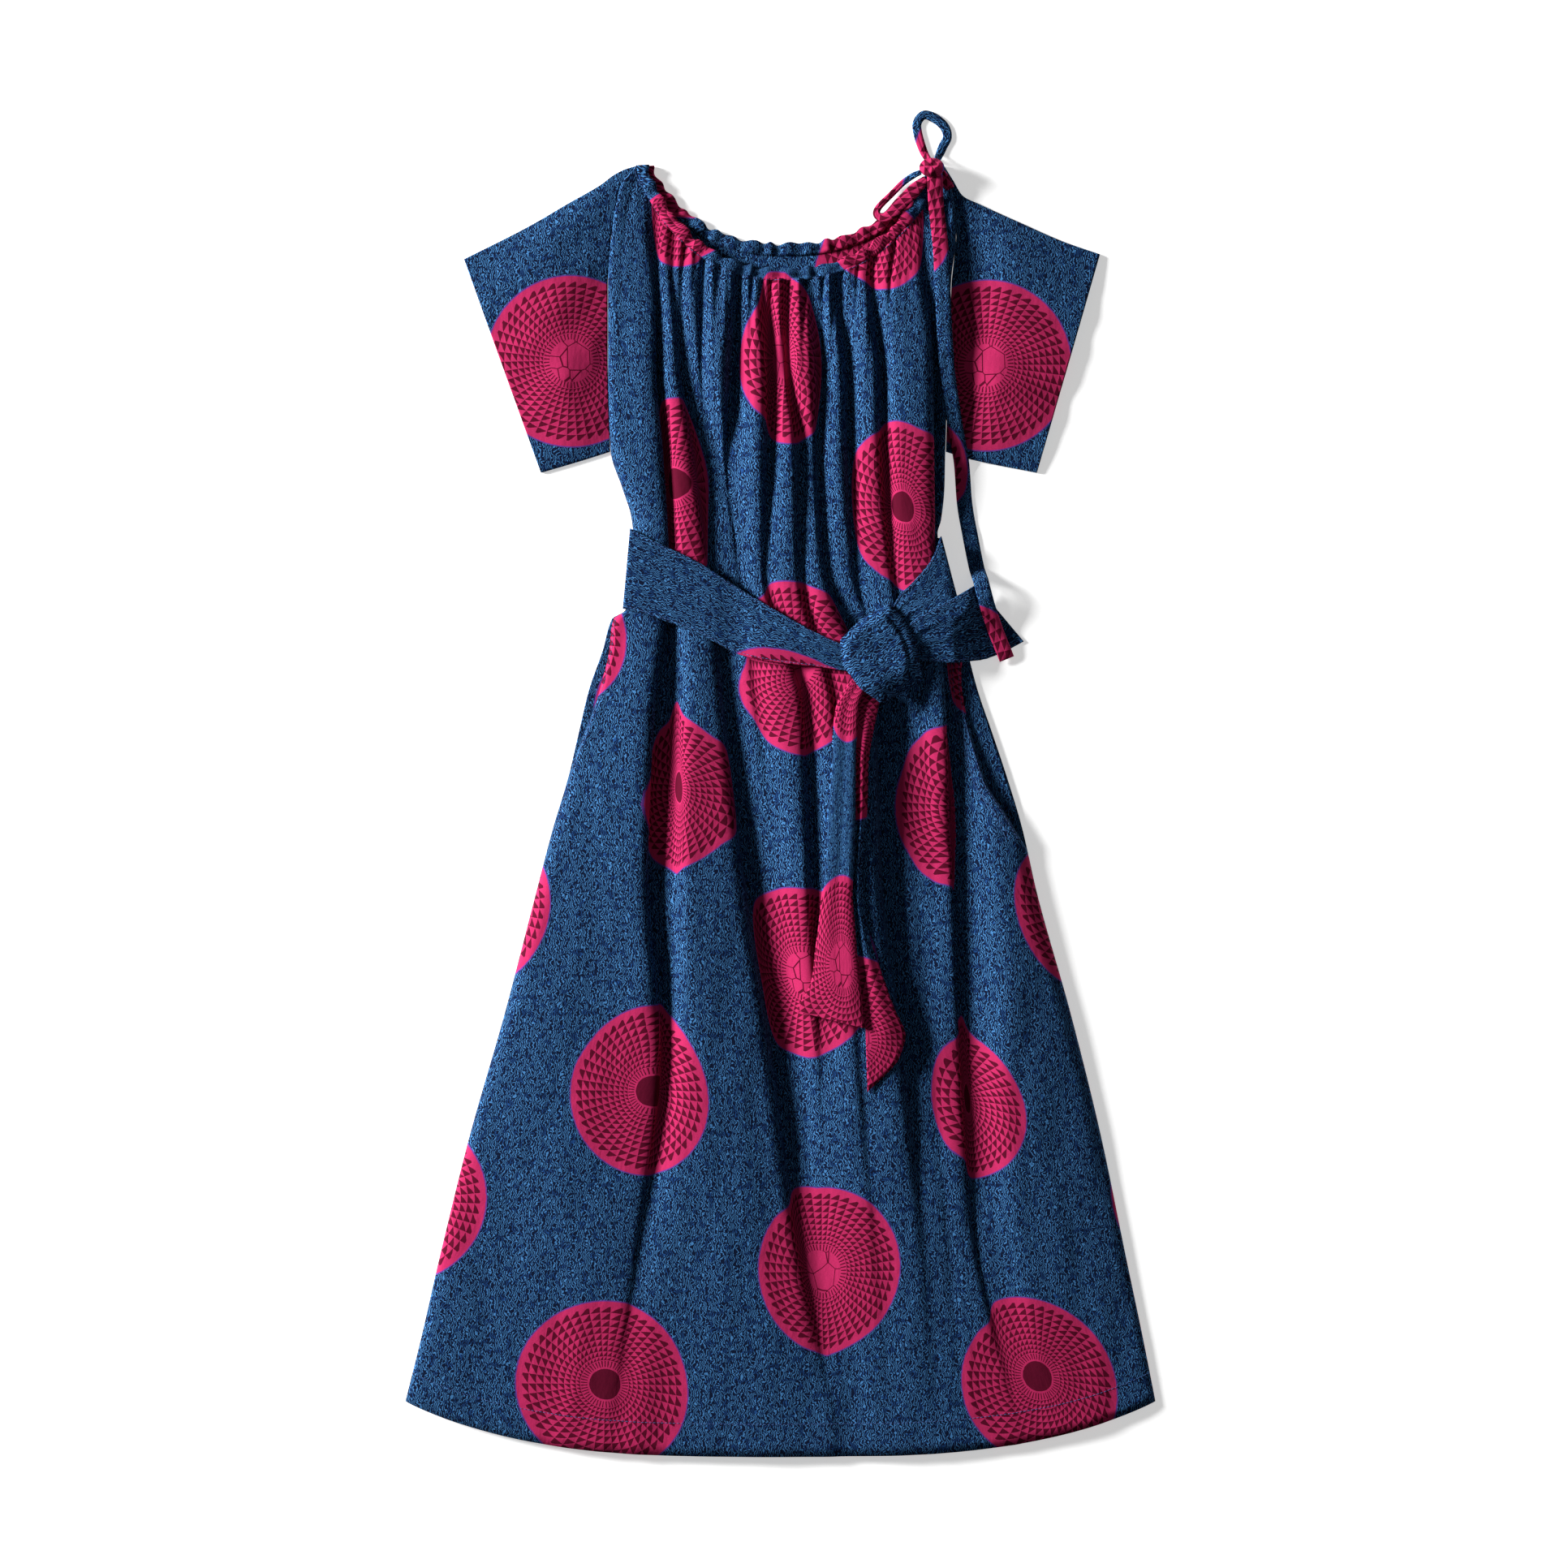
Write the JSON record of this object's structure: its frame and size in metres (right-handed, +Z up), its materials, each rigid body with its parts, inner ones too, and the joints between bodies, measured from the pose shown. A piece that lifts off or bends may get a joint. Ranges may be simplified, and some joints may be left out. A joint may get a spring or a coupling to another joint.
{
  "type": "printed cotton dress",
  "caption": "Short-sleeved midi dress lying flat on its back, with a gathered drawstring neck, in-seam pockets, a knotted sash and a disc print",
  "frame": {"origin": "middle of the dress's bounding box, on the surface that it lies on", "axes": "+Y towards the neck, +Z up from the surface, +X to the right as seen from above with the neck at the top"},
  "size_m": [0.6664, 1.1957, 0.0306],
  "materials": {
    "cloth": "plain-woven cotton with a wax print",
    "sash": "plain-woven cotton with a wax print",
    "tie": "plain-woven cotton with a wax print"
  },
  "bodies": {
    "root": {"front_panel": "cloth", "back_panel": "cloth", "sleeve_right": "cloth", "sleeve_left": "cloth", "neck_casing_front": "cloth", "neck_casing_back": "cloth", "pocket_facing_right": "cloth", "pocket_facing_left": "cloth", "belt_band": "sash", "belt_wrap": "sash", "belt_knot": "sash", "belt_end_short": "sash", "belt_tail_long": "sash", "belt_back": "sash", "tie_knot": "tie", "tie_loop_upper": "tie", "tie_loop_lower": "tie", "tie_tail_long": "tie", "tie_tail_short": "tie"}
  },
  "joints": []
}
